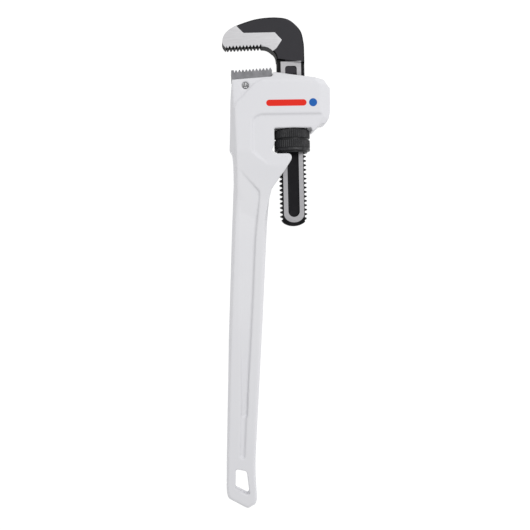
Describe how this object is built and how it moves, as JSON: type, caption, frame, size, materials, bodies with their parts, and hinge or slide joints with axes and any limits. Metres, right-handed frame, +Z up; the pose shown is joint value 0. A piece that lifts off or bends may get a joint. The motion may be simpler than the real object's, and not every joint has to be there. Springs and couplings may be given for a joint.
{
  "type": "pipe wrench",
  "caption": "Long heavy-duty pipe wrench with I-section handle, toothed hook jaw and heel jaw, ribbed adjusting nut and hanging hole.",
  "frame": {"origin": "under the middle of the bounding box, on the plane that the head lies on", "axes": "+X along the handle toward the hook jaw, +Y the side the jaws open to, +Z up through the thickness"},
  "size_m": [0.8062, 0.1844, 0.06],
  "materials": {
    "white_casting": "white powder coat",
    "forged_jaw": "black paint with ground steel flats",
    "heel_steel": "hardened grey steel",
    "spring_steel": "bright steel",
    "blackened_nut": "black oxide"
  },
  "bodies": {
    "handle": {"handle_casting": "white_casting", "heel_jaw": "heel_steel", "heel_jaw_pin": "spring_steel", "coil_spring": "spring_steel"},
    "rocker": {"flat_spring": "spring_steel", "spring_pin": "spring_steel"},
    "nut": {"adjusting_nut": "blackened_nut"},
    "hook": {"hook_jaw": "forged_jaw"}
  },
  "joints": [
    {"name": "jaw_rock", "type": "hinge", "parent": "handle", "child": "rocker", "pos_m": [0.20148, -0.0292, 0.03], "axis": [0, 0, -1], "range_deg": [0, 2], "stiffness_Nm_per_rad": 60, "springref_deg": -4.58, "deforming": ["coil_spring"]},
    {"name": "nut_spin", "type": "hinge", "parent": "rocker", "child": "nut", "pos_m": [0.20148, -0.0292, 0.03], "axis": [-1, 0, 0], "range_deg": [-1469, 5115]},
    {"name": "jaw_slide", "type": "slide", "parent": "rocker", "child": "hook", "axis": [1, 0, 0], "range_m": [-0.03, 0.1045]}
  ],
  "couplings": [
    {"joint": "jaw_slide", "follows": "nut_spin", "m_per_rad": 0.0011698}
  ]
}
